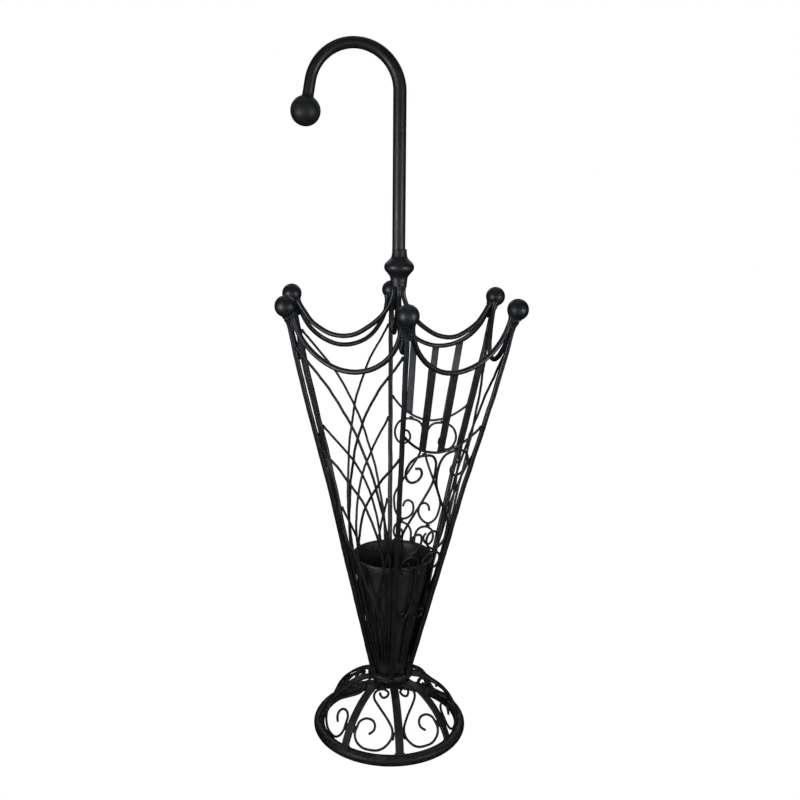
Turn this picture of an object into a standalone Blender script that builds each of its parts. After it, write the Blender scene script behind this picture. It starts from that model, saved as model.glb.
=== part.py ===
"""Umbrella stand shaped like a half-open umbrella that stands on a domed foot.

Metres, +Z up. The origin is on the floor in the middle of the foot ring, the front rib is towards -Y
and the crook of the handle opens towards -X. Every round number below is a design size in millimetres.
"""
import math

import bmesh
import bpy
from mathutils import Vector

MM = 0.001
GAP = 0.3                     # clearance that welded neighbours keep, mm

# The umbrella
RIB_COUNT = 6
RIM_RADIUS = 145.0            # axis to the rim balls
RIM_HEIGHT = 540.0            # floor to the rim balls
ROD_RADIUS = 2.9              # ribs, rim swags and hangers
RIM_BALL_RADIUS = 11.9
RIB_PROFILE = ((0, 145), (72, 128), (145, 108), (217, 87.5), (289, 69.5), (360, 51), (460.5, 25))
RIB_TOP_DROP = RIM_BALL_RADIUS + GAP
RIB_BOTTOM_DROP = 459.3
HANGER_TURNS = (0, 120, 180, 240)

# The rim swags, half ellipses hung between neighbouring ribs
SWAG_HALF_WIDTH = 66.0
SWAG_DEPTH = 66.0
SWAG_END_ANGLE = math.radians(76.5)

# The wire and bar panels
WIRE_SIZE = 3.0
BAR_WIDTH = 9.0
BAR_THICKNESS = 2.0
WELD_OFFSET = 0.5             # how far crossing reeds lie in front of and behind the panel's middle

# The cup, the hub and the foot
CUP_RIM_RADIUS = 48.0
CUP_RIM_HEIGHT = 229.5
CUP_FLOOR_RADIUS = 19.4
CUP_SHEET = 1.2
DISC_RADIUS = 28.0
DISC_TOP = 79.5
DISC_BOTTOM = 71.6
BOSS_RADIUS = 20.0
BOSS_BOTTOM = 62.5
FOOT_BAR_COUNT = 8
FOOT_TURN = 4.8               # the foot is welded on a little turned from the ribs, degrees
RING_RADIUS = 88.8
RING_ROD_RADIUS = 6.7
FOOT_BAR_WIDTH = 10.0
FOOT_BAR_THICKNESS = 3.0
FOOT_PROFILE = ((20.6, 69.5), (29, 68.8), (43.5, 64.5), (61, 53), (74.5, 39), (83.3, 24.5), (87.7, 14.6))

# The handle and its collar
COLLAR_BOTTOM = 16.0          # above the rim
COLLAR_TOP = 59.2
POLE_RADIUS = 7.2
CROOK_END_RADIUS = 6.4        # the pole is drawn down a little in the bend
HANDLE_LEAN = math.tan(math.radians(1.1))   # the pole leans a little towards the crook's side
CROOK_RADIUS = 49.5
CROOK_TURN = math.radians(170)
CROOK_HEIGHT = 230.7          # above the rim
HANDLE_BALL_RADIUS = 16.7
HANDLE_BALL_HEIGHT = 207.4    # above the rim

# Outlines of the panels: (across from the panel's middle line, drop below the rim)
LONG_REED = (
    (-61.6, 47.6), (-29, 88), (-8, 124), (5, 157), (16, 199), (24, 253.5), (25, 299), (18, 381), (8, 443))
MIDDLE_REED = (
    (-46.6, 164.6), (-22, 194), (0, 228), (12, 266), (16.5, 298), (16, 346), (12, 387), (4.6, 443))
SHORT_REED = (
    (-32.9, 266.6), (-20, 295.5), (-10, 331), (0, 359.5), (5, 388.5), (4.5, 411), (1.5, 443))
BAR_ENDS = (((-32, 58), (-25.7, 153.5)), ((0, 66), (0, 159)), ((32, 58), (25.7, 153.5)))
CROSS_WIRE = ((-50, 137.2), (-36, 148), (-19, 155.9), (0, 159.4), (19, 155.9), (36, 148), (50, 137.2))
UPPER_SCROLL = (
    (30, 175), (23.5, 176.5), (20, 183.5), (23.5, 190), (31, 192), (38, 188.5), (42, 181), (42, 173),
    (37.5, 165), (29.5, 160.9), (20, 160.3), (9.5, 163), (3.7, 170.5), (1.9, 181), (1.95, 192), (4.5, 203),
    (12, 218), (26, 243), (32, 257), (31.5, 268), (28, 278.5), (19, 285.5), (9.5, 282.5), (3.8, 274.5),
    (5, 265), (11, 261.5), (16.5, 264), (18.5, 270))
LOWER_SCROLL = (
    (17.4, 298.5), (14.8, 304), (17, 309.5), (22.5, 311), (26.5, 306.5), (27.5, 300), (25, 293.5),
    (18, 290.3), (10, 292), (4.5, 297.5), (2.7, 305.5), (2.6, 318), (2.6, 343), (2.9, 359), (5, 370),
    (10, 377.5), (15, 377), (17.3, 372.5), (15.5, 368), (11.5, 368.5))
STEM_BAR = ((0, 361), (0, 443))
STEM_WIDTH = 7.0
# Outline of a foot scroll: (distance from the axis, across from the bay's middle line)
FOOT_SCROLL = (
    (80.3, 6.2), (77.8, 1), (74.2, 0.3), (70.8, 4.5), (70.2, 12.4), (73, 19.2), (77.5, 22), (81.5, 23.4),
    (85, 20.6), (87.4, 13), (88, 4), (87.4, -7.5), (84.8, -16.5), (80.4, -21.8), (75.6, -21.4), (70.9, -16.8),
    (64.6, -8.8), (57, 1), (51.2, 7), (45.5, 9.1), (39.5, 7), (36, 1), (37.5, -5), (41.3, -8), (45.7, -6.7),
    (47.6, -2.7), (45, 1), (42, 2.6))


def clear_scene():
    for obj in list(bpy.data.objects):
        bpy.data.objects.remove(obj, do_unlink=True)


def black_paint(node):
    """A satin black paint of the piece's own."""
    material = bpy.data.materials.new(node + "_paint")
    material.use_nodes = True
    shader = material.node_tree.nodes["Principled BSDF"]
    shader.inputs["Base Color"].default_value = (0.018, 0.019, 0.021, 1.0)
    shader.inputs["Roughness"].default_value = 0.42
    shader.inputs["Metallic"].default_value = 0.0
    return material


def make_object(node, bm, smooth):
    """Turn a bmesh whose units are millimetres into a named, painted object."""
    bmesh.ops.recalc_face_normals(bm, faces=bm.faces)
    bmesh.ops.scale(bm, vec=(MM, MM, MM), verts=bm.verts)
    mesh = bpy.data.meshes.new(node)
    bm.to_mesh(mesh)
    bm.free()
    if smooth:
        mesh.shade_smooth()
        mesh.set_sharp_from_angle(angle=math.radians(50))
    obj = bpy.data.objects.new(node, mesh)
    obj.data.materials.append(black_paint(node))
    bpy.context.collection.objects.link(obj)
    return obj


def smooth_curve(points, steps):
    """Catmull-Rom curve through the points, sampled at equal lengths into steps pieces."""
    points = [Vector(p) for p in points]
    padded = [2 * points[0] - points[1]] + points + [2 * points[-1] - points[-2]]
    fine = []
    for i in range(1, len(padded) - 2):
        a, b, c, d = padded[i - 1:i + 3]
        for j in range(16):
            t = j / 16
            fine.append(0.5 * (2 * b + (c - a) * t + (2 * a - 5 * b + 4 * c - d) * t ** 2
                               + (3 * b - a - 3 * c + d) * t ** 3))
    fine.append(points[-1])
    lengths = [0.0]
    for a, b in zip(fine, fine[1:]):
        lengths.append(lengths[-1] + (b - a).length)
    result = []
    j = 0
    for i in range(steps + 1):
        target = lengths[-1] * i / steps
        while j < len(fine) - 2 and lengths[j + 1] < target:
            j += 1
        t = (target - lengths[j]) / (lengths[j + 1] - lengths[j])
        result.append(fine[j].lerp(fine[j + 1], t))
    return result


def profile_value(profile, x):
    """Smooth reading of a profile of (x, y) points at x."""
    for i in range(len(profile) - 1):
        if x <= profile[i + 1][0] or i == len(profile) - 2:
            break
    before = profile[max(i - 1, 0)]
    start, end = profile[i], profile[i + 1]
    after = profile[min(i + 2, len(profile) - 1)]
    span = end[0] - start[0]
    t = (x - start[0]) / span
    slope_start = (end[1] - before[1]) / (end[0] - before[0]) * span
    slope_end = (after[1] - start[1]) / (after[0] - start[0]) * span
    return ((2 * t ** 3 - 3 * t ** 2 + 1) * start[1] + (t ** 3 - 2 * t ** 2 + t) * slope_start
            + (3 * t ** 2 - 2 * t ** 3) * end[1] + (t ** 3 - t ** 2) * slope_end)


def direction(turn):
    """Level unit vector at a turn in degrees from the front (-Y) towards +X."""
    angle = math.radians(turn)
    return Vector((math.sin(angle), -math.cos(angle), 0))


def polygon_section(radius, sides):
    return [(radius * math.cos(2 * math.pi * k / sides), radius * math.sin(2 * math.pi * k / sides))
            for k in range(sides)]


def bar_section(width, thickness):
    return [(-width / 2, -thickness / 2), (width / 2, -thickness / 2),
            (width / 2, thickness / 2), (-width / 2, thickness / 2)]


def add_sweep(bm, path, outward, section, scales=None):
    """Sweep a section of (sideways, outward) points along the path and close both ends."""
    scales = scales or [1.0] * len(path)
    rings = []
    for i, point in enumerate(path):
        tangent = (path[min(i + 1, len(path) - 1)] - path[max(i - 1, 0)]).normalized()
        side = tangent.cross(outward[i]).normalized()
        out = side.cross(tangent)
        rings.append([bm.verts.new(point + (side * u + out * v) * scales[i]) for u, v in section])
    count = len(section)
    for a, b in zip(rings, rings[1:]):
        for k in range(count):
            bm.faces.new((a[k], a[(k + 1) % count], b[(k + 1) % count], b[k]))
    bm.faces.new(rings[0])
    bm.faces.new(rings[-1])


def sweep_object(node, path, outward, section, smooth, scales=None):
    bm = bmesh.new()
    add_sweep(bm, path, outward, section, scales)
    return make_object(node, bm, smooth)


def lathe_object(node, profile, steps, closed=False):
    """Turn a profile of (radius, height) points about Z; radius 0 is a pole, closed joins last to first."""
    bm = bmesh.new()
    rings = []
    for radius, height in profile:
        if radius == 0:
            rings.append([bm.verts.new((0, 0, height))])
        else:
            angles = [2 * math.pi * k / steps for k in range(steps)]
            rings.append([bm.verts.new((radius * math.cos(a), radius * math.sin(a), height)) for a in angles])
    pairs = list(zip(rings, rings[1:]))
    if closed:
        pairs.append((rings[-1], rings[0]))
    for a, b in pairs:
        for k in range(steps):
            n = (k + 1) % steps
            if len(a) == 1:
                bm.faces.new((a[0], b[n], b[k]))
            elif len(b) == 1:
                bm.faces.new((a[k], a[n], b[0]))
            else:
                bm.faces.new((a[k], a[n], b[n], b[k]))
    return make_object(node, bm, True)


def ball_object(node, radius, location, steps, rows):
    profile = [(0, -radius)]
    for k in range(1, rows):
        angle = math.pi * k / rows
        profile.append((radius * math.sin(angle), -radius * math.cos(angle)))
    profile.append((0, radius))
    ball = lathe_object(node, profile, steps)
    ball.location = location * MM
    return ball


def combine(body, other, operation):
    """Join another object's solids to the body, or cut them away; the other one stays as a hidden guide."""
    other.hide_render = True
    other.display_type = "WIRE"
    boolean = body.modifiers.new(operation.title(), "BOOLEAN")
    boolean.operation = operation
    boolean.solver = "EXACT"
    boolean.object = other


def rib_radius(drop):
    return profile_value(RIB_PROFILE, drop)


def panel_path(bay, outline, steps, offset=0.0):
    """Place an outline on the surface between two ribs; gives the points and their outward directions."""
    middle = direction(60 * bay + 30)
    sideways = Vector((-middle.y, middle.x, 0))
    half_turn = math.pi / RIB_COUNT
    curve = smooth_curve([(across, drop, 0) for across, drop in outline], steps)
    path, outward = [], []
    for across, drop, _ in curve:
        slope = (rib_radius(drop + 1) - rib_radius(drop - 1)) / 2 * math.cos(half_turn)
        out = (middle + Vector((0, 0, slope))).normalized()
        flat = middle * rib_radius(drop) * math.cos(half_turn) + sideways * across
        path.append(flat + Vector((0, 0, RIM_HEIGHT - drop)) + out * offset)
        outward.append(out)
    return path, outward


def mirrored(outline):
    return [(-across, drop) for across, drop in outline]


def build_ribs():
    section = polygon_section(ROD_RADIUS, 8)
    for k in range(RIB_COUNT):
        out = direction(60 * k)
        path = []
        for i in range(11):
            drop = RIB_TOP_DROP + (RIB_BOTTOM_DROP - RIB_TOP_DROP) * i / 10
            path.append(out * rib_radius(drop) + Vector((0, 0, RIM_HEIGHT - drop)))
        sweep_object(f"rib_{k + 1}", path, [out] * len(path), section, True)
        centre = out * RIM_RADIUS + Vector((0, 0, RIM_HEIGHT))
        ball_object(f"rim_ball_{k + 1}", RIM_BALL_RADIUS, centre, 12, 8)


def swag_path(bay):
    outline = []
    for i in range(15):
        angle = SWAG_END_ANGLE * (2 * i / 14 - 1)
        outline.append((SWAG_HALF_WIDTH * math.sin(angle), SWAG_DEPTH * math.cos(angle)))
    return panel_path(bay, outline, 14)


def build_swags():
    for bay in range(RIB_COUNT):
        sweep_object(f"rim_swag_{bay + 1}", *swag_path(bay), polygon_section(ROD_RADIUS, 6), True)


def build_hangers():
    """The rods that carry the collar; each hangs from the collar down and out to a rim ball."""
    profile = ((7.2, COLLAR_BOTTOM - 1.2), (8.2, 5), (14, -9), (29, -26), (58, -43.5), (87, -46), (114, -34),
               (126.5, -21.5), (135.9, -9.2))
    section = polygon_section(ROD_RADIUS, 6)
    for number, turn in enumerate(HANGER_TURNS):
        out = direction(turn)
        sideways = Vector((-out.y, out.x, 0))
        curve = smooth_curve([(*p, 0) for p in profile], 16)
        path = [out * p.x + Vector((0, 0, RIM_HEIGHT + p.y)) for p in curve]
        sweep_object(f"hanger_{number + 1}", path, [sideways] * len(path), section, True)


def build_reed_panel(number, bay):
    """Six reeds in three crossing pairs, welded where they cross."""
    section = bar_section(WIRE_SIZE, WIRE_SIZE)
    sides = []
    for name, turn_over, offset in (("rising", list, WELD_OFFSET), ("falling", mirrored, -WELD_OFFSET)):
        bm = bmesh.new()
        for outline, steps in ((LONG_REED, 12), (MIDDLE_REED, 10), (SHORT_REED, 8)):
            add_sweep(bm, *panel_path(bay, turn_over(outline), steps, offset), section)
        node = f"reed_panel_{number}" if not sides else f"reed_panel_{number}_{name}"
        sides.append(make_object(node, bm, False))
    combine(*sides, "UNION")


def build_bar_panel(number, bay):
    """Three flat bars on a sagging cross wire, a pair of scrolls under it, and a scrolled stem."""
    wire = bar_section(WIRE_SIZE, WIRE_SIZE)
    cross = sweep_object(f"bar_panel_{number}", *panel_path(bay, CROSS_WIRE, 14), wire, False)
    bm = bmesh.new()
    for ends in BAR_ENDS:
        add_sweep(bm, *panel_path(bay, ends, 4), bar_section(BAR_WIDTH, BAR_THICKNESS))
    combine(cross, make_object(f"bar_panel_{number}_bars", bm, False), "UNION")
    room = polygon_section(ROD_RADIUS + 1.2 * GAP, 6)
    combine(cross, sweep_object(f"bar_panel_{number}_top_cut", *swag_path(bay), room, False), "DIFFERENCE")

    for side, turn_over in (("right", list), ("left", mirrored)):
        path, outward = panel_path(bay, turn_over(UPPER_SCROLL), 40)
        sweep_object(f"scroll_{side}_{number}", path, outward, wire, False)

    stem_path = panel_path(bay, STEM_BAR, 4)
    stem = sweep_object(f"scroll_stem_{number}", *stem_path, bar_section(STEM_WIDTH, BAR_THICKNESS), False)
    bm = bmesh.new()
    for turn_over in (list, mirrored):
        add_sweep(bm, *panel_path(bay, turn_over(LOWER_SCROLL), 32), wire)
    combine(stem, make_object(f"scroll_stem_{number}_scrolls", bm, False), "UNION")


def build_cup():
    """Sheet metal cup with a rolled rim, standing on the hub's plate."""
    floor = DISC_TOP + GAP
    rim = CUP_RIM_HEIGHT
    lathe_object("cup", (
        (0, floor), (CUP_FLOOR_RADIUS, floor), (CUP_RIM_RADIUS - 0.6, rim - 2.4),
        (CUP_RIM_RADIUS + 1.5, rim - 1.6), (CUP_RIM_RADIUS + 2.0, rim), (CUP_RIM_RADIUS + 1.2, rim + 1.5),
        (CUP_RIM_RADIUS - 0.3, rim + 1.7), (CUP_RIM_RADIUS - 1.4, rim + 0.4),
        (CUP_FLOOR_RADIUS - CUP_SHEET, floor + CUP_SHEET), (0, floor + CUP_SHEET)), 28)


def build_hub():
    """Disc that carries the ribs and the cup, with the boss that the foot bars meet."""
    lathe_object("foot_hub", (
        (0, BOSS_BOTTOM), (BOSS_RADIUS - 2, BOSS_BOTTOM), (BOSS_RADIUS, BOSS_BOTTOM + 2),
        (BOSS_RADIUS, DISC_BOTTOM), (DISC_RADIUS - 1.5, DISC_BOTTOM), (DISC_RADIUS, DISC_BOTTOM + 1.5),
        (DISC_RADIUS, DISC_TOP - 1.5), (DISC_RADIUS - 1.5, DISC_TOP), (0, DISC_TOP)), 28)


def build_foot_ring():
    """Round rod bent to a ring; its section has a flat side down for the floor."""
    corner = RING_ROD_RADIUS / math.cos(math.pi / 12)
    profile = []
    for k in range(12):
        angle = math.pi * (2 * k + 1) / 12
        profile.append((RING_RADIUS + corner * math.cos(angle), RING_ROD_RADIUS + corner * math.sin(angle)))
    lathe_object("foot_ring", profile, 48, closed=True)


def foot_height(radius):
    return profile_value(FOOT_PROFILE, radius)


def build_foot_bars():
    section = bar_section(FOOT_BAR_WIDTH, FOOT_BAR_THICKNESS)
    profile = smooth_curve([(radius, height, 0) for radius, height in FOOT_PROFILE], 9)
    for k in range(FOOT_BAR_COUNT):
        out = direction(FOOT_TURN + 45 * k)
        path = [out * p.x + Vector((0, 0, p.y)) for p in profile]
        sideways = Vector((-out.y, out.x, 0))
        outward = []
        for i in range(len(path)):
            tangent = path[min(i + 1, len(path) - 1)] - path[max(i - 1, 0)]
            outward.append(sideways.cross(tangent).normalized())
        sweep_object(f"foot_bar_{k + 1}", path, outward, section, False)


def build_foot_scrolls():
    """One wire scroll between each two foot bars, turned over in every other bay."""
    half_turn = math.pi / FOOT_BAR_COUNT
    for k in range(FOOT_BAR_COUNT):
        middle = direction(FOOT_TURN + 45 * k + 22.5)
        hand = 1 if k % 2 == 0 else -1
        sideways = Vector((-middle.y, middle.x, 0)) * hand
        path, outward = [], []
        for radius, across, _ in smooth_curve([(*p, 0) for p in FOOT_SCROLL], 34):
            slope = (foot_height(radius + 0.5) - foot_height(radius - 0.5)) / math.cos(half_turn)
            flat = middle * radius * math.cos(half_turn) + sideways * across
            path.append(flat + Vector((0, 0, foot_height(radius))))
            outward.append((Vector((0, 0, 1)) - middle * slope).normalized())
        sweep_object(f"foot_scroll_{k + 1}", path, outward, bar_section(WIRE_SIZE, WIRE_SIZE), False)


def build_collar_and_handle():
    """The turned collar on the hangers, the pole bent to a crook, and the ball on its end."""
    base = RIM_HEIGHT
    lathe_object("collar", (
        (0, base + COLLAR_BOTTOM), (9.2, base + COLLAR_BOTTOM), (9.6, base + 22), (10.4, base + 27.5),
        (13.4, base + 31.5), (16.4, base + 35), (17.3, base + 38.6), (16.2, base + 42.5), (12.6, base + 46.5),
        (9.2, base + 50), (8.0, base + 54), (8.6, base + COLLAR_TOP), (0, base + COLLAR_TOP)), 24)

    steps = 17
    foot = base + COLLAR_TOP + GAP + POLE_RADIUS * HANDLE_LEAN
    path = [Vector((0, 0, foot)), Vector((0, 0, (foot + base + CROOK_HEIGHT) / 2))]
    scales = [1.0, 1.0]
    for i in range(steps + 1):
        angle = CROOK_TURN * i / steps
        path.append(Vector((CROOK_RADIUS * (math.cos(angle) - 1), 0,
                            base + CROOK_HEIGHT + CROOK_RADIUS * math.sin(angle))))
        scales.append(1 + (CROOK_END_RADIUS / POLE_RADIUS - 1) * min(1.0, 2 * i / steps))
    leg = Vector((-math.sin(CROOK_TURN), 0, math.cos(CROOK_TURN)))
    leg_length = (path[-1].z - base - HANDLE_BALL_HEIGHT) / -leg.z
    ball_centre = path[-1] + leg * leg_length
    path.append(ball_centre - leg * (HANDLE_BALL_RADIUS + 2 * GAP))
    scales.append(scales[-1])
    for point in path + [ball_centre]:
        point.x -= (point.z - foot) * HANDLE_LEAN
    section = polygon_section(POLE_RADIUS, 14)
    sweep_object("handle", path, [Vector((0, 1, 0))] * len(path), section, True, scales)
    ball_object("handle_ball", HANDLE_BALL_RADIUS, ball_centre, 20, 12)


def build_stand():
    clear_scene()
    build_foot_ring()
    build_foot_bars()
    build_foot_scrolls()
    build_hub()
    build_cup()
    build_ribs()
    build_swags()
    build_hangers()
    for number, bay in enumerate((0, 2, 4)):
        build_bar_panel(number + 1, bay)
    for number, bay in enumerate((1, 3, 5)):
        build_reed_panel(number + 1, bay)
    build_collar_and_handle()


build_stand()
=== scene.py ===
import math

import bmesh
import bpy
import numpy as np
from mathutils import Matrix, Vector


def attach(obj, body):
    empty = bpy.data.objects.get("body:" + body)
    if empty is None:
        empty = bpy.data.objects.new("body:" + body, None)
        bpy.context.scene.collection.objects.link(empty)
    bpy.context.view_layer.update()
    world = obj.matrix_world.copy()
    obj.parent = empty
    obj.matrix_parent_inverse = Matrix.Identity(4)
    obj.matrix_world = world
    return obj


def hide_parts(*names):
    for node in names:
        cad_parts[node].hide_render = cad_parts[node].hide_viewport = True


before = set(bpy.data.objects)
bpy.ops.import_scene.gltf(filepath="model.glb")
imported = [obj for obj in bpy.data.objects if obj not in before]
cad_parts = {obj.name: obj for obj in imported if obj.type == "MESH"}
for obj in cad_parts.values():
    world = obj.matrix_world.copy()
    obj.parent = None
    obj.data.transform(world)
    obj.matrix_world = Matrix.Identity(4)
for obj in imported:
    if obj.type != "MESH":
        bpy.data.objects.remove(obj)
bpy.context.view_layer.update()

# Sizes in millimetres. They are the CAD model's, except that the wires are round, the swags run on into the
# balls, the pole is 0.6 mm thicker and leans a little less, and a few panels are shifted as said below.
# The origin is on the floor in the middle of the foot ring, the front rib is towards -Y and the crook of the
# handle opens towards -X. A turn is in degrees from the front towards +X.
MM = 0.001
RIB_COUNT = 6
BAY_TURN = 360 / RIB_COUNT
RIM_RADIUS = 145.0
RIM_HEIGHT = 540.0
ROD_RADIUS = 2.9
ROD_SIDES = 18
RIM_BALL_RADIUS = 11.9
RIB_PROFILE = ((0, 145), (72, 128), (145, 108), (217, 87.5), (289, 69.5), (360, 51), (460.5, 25))
HANGER_TURNS = (0, 120, 180, 240)
SWAG_HALF_WIDTH = 66.0
SWAG_DEPTH = 66.0
SWAG_END_ANGLE = math.radians(85.0)
WIRE_RADIUS = 1.5
WIRE_SIDES = 12
BAR_WIDTH = 9.0
BAR_THICKNESS = 2.0
WELD_OFFSET = 0.5
WELD_REACH = 4.2                   # how far a reed's end runs on into the weld on its rib
BAR_OFFSETS = (0.0, 0.0, -2.8)     # the left panel's bars are welded to the inside of its wire
CUP_RIM_RADIUS = 48.0
CUP_RIM_HEIGHT = 229.5
CUP_FLOOR_RADIUS = 19.4
CUP_FLOOR_HEIGHT = 79.8
CUP_SHEET = 1.2
CUP_BEAD_RADIUS = 1.75
CUP_SEAM_TURN = 203.0
DISC_RADIUS = 28.0
DISC_TOP = 79.5
DISC_BOTTOM = 71.6
BOSS_RADIUS = 20.0
BOSS_BOTTOM = 62.5
FOOT_BAR_COUNT = 8
FOOT_BAY_TURN = 360 / FOOT_BAR_COUNT
FOOT_TURN = 4.8
RING_RADIUS = 88.8
RING_ROD_RADIUS = 6.7
FOOT_BAR_WIDTH = 10.0
FOOT_BAR_THICKNESS = 3.0
FOOT_PROFILE = (
    (20.6, 69.5), (29, 68.8), (43.5, 64.5), (61, 53), (74.5, 39), (83.3, 24.5), (87.7, 14.6))
RING_WELD_TURN = 196
COLLAR_BOTTOM = 16.0
COLLAR_TOP = 59.2
POLE_RADIUS = 7.5
CROOK_END_RADIUS = 6.4
HANDLE_SHIFT = 0.9                 # towards -X
HANDLE_LEAN = math.tan(math.radians(0.82))
CROOK_RADIUS = 49.5
CROOK_TURN = math.radians(170)
CROOK_HEIGHT = 230.7
HANDLE_BALL_RADIUS = 16.7
HANDLE_BALL_HEIGHT = 207.4

# Outlines of the panels: (across from the panel's middle line, drop below the rim)
LONG_REED = (
    (-61.6, 47.6), (-29, 88), (-8, 124), (5, 157), (16, 199), (24, 253.5), (25, 299), (18, 381), (8, 443))
MIDDLE_REED = (
    (-46.6, 164.6), (-22, 194), (0, 228), (12, 266), (16.5, 298), (16, 346), (12, 387), (4.6, 443))
SHORT_REED = ((-32.9, 266.6), (-20, 295.5), (-10, 331), (0, 359.5), (5, 388.5), (4.5, 411), (1.5, 443))
REED_CROSSINGS = (142.8, 228.0, 359.5)
BAR_ENDS = (((-32, 58), (-25.7, 153.5)), ((0, 66), (0, 159)), ((32, 58), (25.7, 153.5)))
CROSS_WIRE = ((-50, 137.2), (-36, 148), (-19, 155.9), (0, 159.4), (19, 155.9), (36, 148), (50, 137.2))
UPPER_SCROLL = (
    (30, 175), (23.5, 176.5), (20, 183.5), (23.5, 190), (31, 192), (38, 188.5), (42, 181), (42, 173),
    (37.5, 165), (29.5, 160.9), (20, 160.3), (9.5, 163), (3.7, 170.5), (1.9, 181), (1.95, 192), (4.5, 203),
    (12, 218), (26, 243), (32, 257), (31.5, 268), (28, 278.5), (19, 285.5), (9.5, 282.5), (3.8, 274.5),
    (5, 265), (11, 261.5), (16.5, 264), (18.5, 270))
LOWER_SCROLL = (
    (17.4, 298.5), (14.8, 304), (17, 309.5), (22.5, 311), (26.5, 306.5), (27.5, 300), (25, 293.5),
    (18, 290.3), (10, 292), (4.5, 297.5), (2.7, 305.5), (2.6, 318), (2.6, 343), (2.9, 359), (5, 370),
    (10, 377.5), (15, 377), (17.3, 372.5), (15.5, 368), (11.5, 368.5))
STEM_BAR = ((0, 361), (0, 443))
STEM_WIDTH = 7.0
FOOT_SCROLL_OFFSETS = {1: 3.0, 6: 3.0, 7: 1.0}    # these bays' scrolls sit nearer the outside of their bars
# Outline of a foot scroll: (distance from the axis, across from the bay's middle line)
FOOT_SCROLL = (
    (80.3, 6.2), (77.8, 1), (74.2, 0.3), (70.8, 4.5), (70.2, 12.4), (73, 19.2), (77.5, 22), (81.5, 23.4),
    (85, 20.6), (87.4, 13), (88, 4), (87.4, -7.5), (84.8, -16.5), (80.4, -21.8), (75.6, -21.4), (70.9, -16.8),
    (64.6, -8.8), (57, 1), (51.2, 7), (45.5, 9.1), (39.5, 7), (36, 1), (37.5, -5), (41.3, -8), (45.7, -6.7),
    (47.6, -2.7), (45, 1), (42, 2.6))


# ---------------------------------------------------------------- paint

RUBBED_EDGE = (0.060, 0.056, 0.052)
DUST = (0.085, 0.082, 0.077)
LUMP_DEPTH = 0.0009
PEEL_DEPTH = 0.00022


def paint(name, dark, light, roughness, peel, lumps, wear, dust):
    """Satin black paint on steel: mottled tone, orange peel, forging lumps, rubbed edges and settled dust."""
    material = bpy.data.materials.new(name)
    material.use_nodes = True
    tree = material.node_tree
    nodes, links = tree.nodes, tree.links
    shader = nodes["Principled BSDF"]
    shader.inputs["Metallic"].default_value = 0.0
    shader.inputs["Specular IOR Level"].default_value = 0.5
    place = nodes.new("ShaderNodeTexCoord").outputs["Object"]

    def noise(scale, detail, rough=0.5):
        node = nodes.new("ShaderNodeTexNoise")
        node.inputs["Scale"].default_value = scale
        node.inputs["Detail"].default_value = detail
        node.inputs["Roughness"].default_value = rough
        links.new(place, node.inputs["Vector"])
        return node.outputs["Fac"]

    def ranged(value, low, high, to_low=0.0, to_high=1.0):
        node = nodes.new("ShaderNodeMapRange")
        node.interpolation_type = "SMOOTHSTEP"
        for socket, number in zip(("From Min", "From Max", "To Min", "To Max"), (low, high, to_low, to_high)):
            node.inputs[socket].default_value = number
        links.new(value, node.inputs["Value"])
        return node.outputs["Result"]

    def calc(operation, a, b):
        node = nodes.new("ShaderNodeMath")
        node.operation = operation
        node.use_clamp = True
        for socket, value in zip(node.inputs, (a, b)):
            if isinstance(value, float):
                socket.default_value = value
            else:
                links.new(value, socket)
        return node.outputs[0]

    def mixed(factor, a, b):
        node = nodes.new("ShaderNodeMix")
        node.data_type = "RGBA"
        links.new(factor, node.inputs["Factor"])
        for socket, value in ((node.inputs[6], a), (node.inputs[7], b)):
            if isinstance(value, tuple):
                socket.default_value = (*value, 1.0)
            else:
                links.new(value, socket)
        return node.outputs[2]

    mottle = ranged(noise(38.0, 5.0, 0.6), 0.36, 0.66)
    tone = mixed(mottle, dark, light)

    edge = nodes.new("ShaderNodeAttribute")
    edge.attribute_name = "wear"
    rubbed = calc("MULTIPLY", edge.outputs["Fac"], ranged(noise(210.0, 4.0, 0.65), 0.5, 0.68))
    rubbed = calc("MULTIPLY", rubbed, wear)
    tone = mixed(rubbed, tone, RUBBED_EDGE)

    normal = nodes.new("ShaderNodeNewGeometry").outputs["Normal"]
    split = nodes.new("ShaderNodeSeparateXYZ")
    links.new(normal, split.inputs[0])
    patchy = ranged(noise(95.0, 6.0, 0.7), 0.42, 0.72)
    settled = calc("MULTIPLY", ranged(split.outputs["Z"], 0.35, 1.0), patchy)
    settled = calc("MULTIPLY", settled, dust)
    specks = calc("MULTIPLY", ranged(noise(1500.0, 1.0), 0.70, 0.78), dust * 0.4)
    settled = calc("MAXIMUM", settled, specks)
    tone = mixed(settled, tone, DUST)
    links.new(tone, shader.inputs["Base Color"])

    gloss = ranged(noise(64.0, 5.0, 0.6), 0.3, 0.7, roughness - 0.07, roughness + 0.08)
    gloss = calc("ADD", gloss, calc("MULTIPLY", settled, 0.5))
    gloss = calc("SUBTRACT", gloss, calc("MULTIPLY", rubbed, 0.10))
    links.new(gloss, shader.inputs["Roughness"])

    height = calc("MULTIPLY", noise(170.0, 3.0, 0.55), 0.72)
    fine = noise(1150.0, 2.0)
    lump = nodes.new("ShaderNodeBump")
    lump.inputs["Strength"].default_value = lumps
    lump.inputs["Distance"].default_value = LUMP_DEPTH
    links.new(height, lump.inputs["Height"])
    skin = nodes.new("ShaderNodeBump")
    skin.inputs["Strength"].default_value = peel
    skin.inputs["Distance"].default_value = PEEL_DEPTH
    links.new(fine, skin.inputs["Height"])
    links.new(lump.outputs["Normal"], skin.inputs["Normal"])
    links.new(skin.outputs["Normal"], shader.inputs["Normal"])
    return material


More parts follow.
